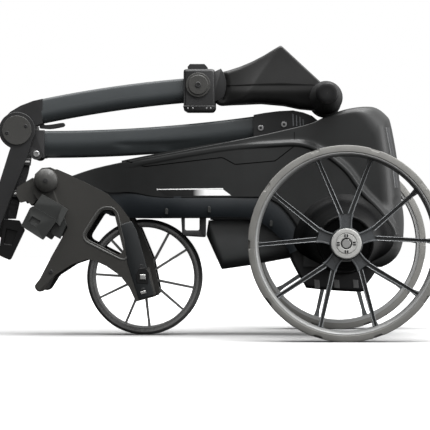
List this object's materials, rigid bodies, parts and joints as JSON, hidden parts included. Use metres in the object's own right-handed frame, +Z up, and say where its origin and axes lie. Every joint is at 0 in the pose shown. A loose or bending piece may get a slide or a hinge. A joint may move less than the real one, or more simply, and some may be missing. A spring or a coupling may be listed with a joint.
{
  "type": "electric golf trolley",
  "caption": "Powered three-wheel golf bag trolley, folded flat: shafts, handle and front fork fold onto a motor and battery body with a live rear axle.",
  "frame": {"origin": "on the ground under the middle of the folded length and width", "axes": "+X to the rear, along the folded length; +Y to the right-hand side, across the rear axle; +Z up"},
  "size_m": [0.653, 0.6, 0.418],
  "materials": {
    "shell_black": "satin moulded",
    "housing_black": "satin moulded",
    "trim_grey": "satin",
    "rail_black": "satin powder coat",
    "steel": "turned",
    "battery_black": "textured",
    "controller_grey": "moulded",
    "motor_case": "satin",
    "rear_tyre_grey": "smooth rubber",
    "rear_rim_dark": "satin",
    "hub_grey": "satin",
    "front_tyre_dark": "rubber",
    "front_rim_grey": "satin",
    "fork_black": "matte powder coat",
    "clip_black": "moulded",
    "tube_graphite": "satin anodised",
    "hinge_black": "satin",
    "cap_black": "satin",
    "webbing_black": "woven",
    "handle_black": "satin",
    "grip_rubber": "soft touch",
    "display_black": "glossy",
    "button_grey": "satin"
  },
  "bodies": {
    "chassis": {"upper_shell": "shell_black", "drive_housing": "housing_black", "rear_reflectors": "trim_grey", "frame_rail_left": "rail_black", "frame_rail_right": "rail_black", "front_pivot_tube": "steel", "shaft_pivot_pin": "steel", "deck_plate": "rail_black", "battery_pack": "battery_black", "controller": "controller_grey", "axle_cones": "housing_black", "axle_bearings": "steel", "motor": "motor_case", "loop_bracket": "clip_black"},
    "wheel_release_left": {"wheel_release_left": "button_grey"},
    "wheel_release_right": {"wheel_release_right": "button_grey"},
    "rear_wheels": {"drive_axle": "steel", "axle_gear": "steel", "rear_tyres": "rear_tyre_grey", "rear_rims": "rear_rim_dark", "rear_spokes": "rear_rim_dark", "hub_caps": "hub_grey"},
    "motor_pinion": {"motor_pinion": "steel"},
    "front_fork": {"fork_plate_left": "fork_black", "fork_plate_right": "fork_black", "toe_plate": "fork_black", "cradle_lip": "fork_black", "front_axle": "steel", "fork_pivot_caps": "cap_black", "clip_bases": "clip_black"},
    "clip_lever_left": {"clip_lever_left": "clip_black"},
    "clip_lever_right": {"clip_lever_right": "clip_black"},
    "front_wheel": {"front_tyre": "front_tyre_dark", "front_rim": "front_rim_grey", "front_spokes": "front_rim_grey", "front_bearings": "steel"},
    "lower_shaft": {"lower_tube": "tube_graphite", "shaft_bracket": "hinge_black", "mid_clevis": "hinge_black", "mid_hinge_pin": "steel", "mid_hinge_caps": "cap_black", "bag_arms": "hinge_black", "bag_strap": "webbing_black", "strap_buckle": "clip_black"},
    "upper_shaft": {"upper_hinge": "hinge_black", "upper_tube": "tube_graphite", "collar": "hinge_black", "tilt_pin": "steel", "tilt_caps": "cap_black"},
    "fold_latch": {"fold_latch": "hinge_black"},
    "collar_tab": {"collar_tab": "hinge_black"},
    "handle": {"handle_top": "handle_black", "handle_base": "handle_black", "display_lens": "display_black", "grips": "grip_rubber", "grip_caps": "grip_rubber"},
    "speed_dial": {"speed_dial": "handle_black"},
    "start_button": {"start_button": "button_grey"},
    "power_button": {"power_button": "button_grey"},
    "menu_button": {"menu_button": "button_grey"}
  },
  "joints": [
    {"name": "lower_shaft_fold", "type": "hinge", "parent": "chassis", "child": "lower_shaft", "pos_m": [0.1335, 0, 0.275], "axis": [0, 1, 0], "range_deg": [0, 118]},
    {"name": "handle_fold", "type": "hinge", "parent": "lower_shaft", "child": "upper_shaft", "pos_m": [-0.2768, 0, 0.296], "axis": [0, -1, 0], "range_deg": [0, 170]},
    {"name": "front_fold", "type": "hinge", "parent": "chassis", "child": "front_fork", "pos_m": [-0.2321, 0, 0.2226], "axis": [0, 1, 0], "range_deg": [0, 90]},
    {"name": "handle_tilt", "type": "hinge", "parent": "upper_shaft", "child": "handle", "pos_m": [-0.0152, 0, 0.3618], "axis": [0, -1, 0], "range_deg": [0, 15]},
    {"name": "rear_axle_spin", "type": "hinge", "parent": "chassis", "child": "rear_wheels", "pos_m": [0.1935, 0, 0.133], "axis": [0, 1, 0], "continuous": true},
    {"name": "motor_pinion_spin", "type": "hinge", "parent": "chassis", "child": "motor_pinion", "pos_m": [0.17545, 0, 0.16426], "axis": [0, 1, 0], "continuous": true},
    {"name": "front_wheel_spin", "type": "hinge", "parent": "front_fork", "child": "front_wheel", "pos_m": [-0.0935, 0, 0.084], "axis": [0, 1, 0], "continuous": true},
    {"name": "fold_latch_squeeze", "type": "hinge", "parent": "upper_shaft", "child": "fold_latch", "pos_m": [-0.2435, 0, 0.303], "axis": [0, -1, 0], "range_deg": [0, 5], "stiffness_Nm_per_rad": 0.2, "springref_deg": -11.46},
    {"name": "collar_tab_lift", "type": "hinge", "parent": "upper_shaft", "child": "collar_tab", "pos_m": [-0.029, 0, 0.388], "axis": [0, -1, 0], "range_deg": [0, 60]},
    {"name": "clip_lever_left_open", "type": "hinge", "parent": "front_fork", "child": "clip_lever_left", "pos_m": [-0.237, -0.0693, 0.2034], "axis": [-0.8688, 0, 0.4952], "range_deg": [0, 60]},
    {"name": "clip_lever_right_open", "type": "hinge", "parent": "front_fork", "child": "clip_lever_right", "pos_m": [-0.237, 0.0693, 0.2034], "axis": [0.8688, 0, -0.4952], "range_deg": [0, 60]},
    {"name": "wheel_release_left_pull", "type": "slide", "parent": "chassis", "child": "wheel_release_left", "axis": [0, 0, -1], "range_m": [0, 0.003], "stiffness_N_per_m": 200, "springref_m": -0.001},
    {"name": "wheel_release_right_pull", "type": "slide", "parent": "chassis", "child": "wheel_release_right", "axis": [0, 0, -1], "range_m": [0, 0.003], "stiffness_N_per_m": 200, "springref_m": -0.001},
    {"name": "speed_dial_turn", "type": "hinge", "parent": "handle", "child": "speed_dial", "pos_m": [0.169, 0, 0.3415], "axis": [0.7071, 0, 0.7071], "range_deg": [0, 270]},
    {"name": "start_button_press", "type": "slide", "parent": "speed_dial", "child": "start_button", "axis": [-0.7071, 0, -0.7071], "range_m": [0, 0.001], "stiffness_N_per_m": 400, "springref_m": -0.0005},
    {"name": "power_button_press", "type": "slide", "parent": "handle", "child": "power_button", "axis": [-0.6805, 0, -0.7328], "range_m": [0, 0.001], "stiffness_N_per_m": 400, "springref_m": -0.0005},
    {"name": "menu_button_press", "type": "slide", "parent": "handle", "child": "menu_button", "axis": [-0.6805, 0, -0.7328], "range_m": [0, 0.001], "stiffness_N_per_m": 400, "springref_m": -0.0005}
  ],
  "couplings": [
    {"joint": "handle_fold", "follows": "lower_shaft_fold", "ratio": 1.44},
    {"joint": "front_fold", "follows": "lower_shaft_fold", "ratio": 0.76},
    {"joint": "motor_pinion_spin", "follows": "rear_axle_spin", "ratio": -3}
  ]
}
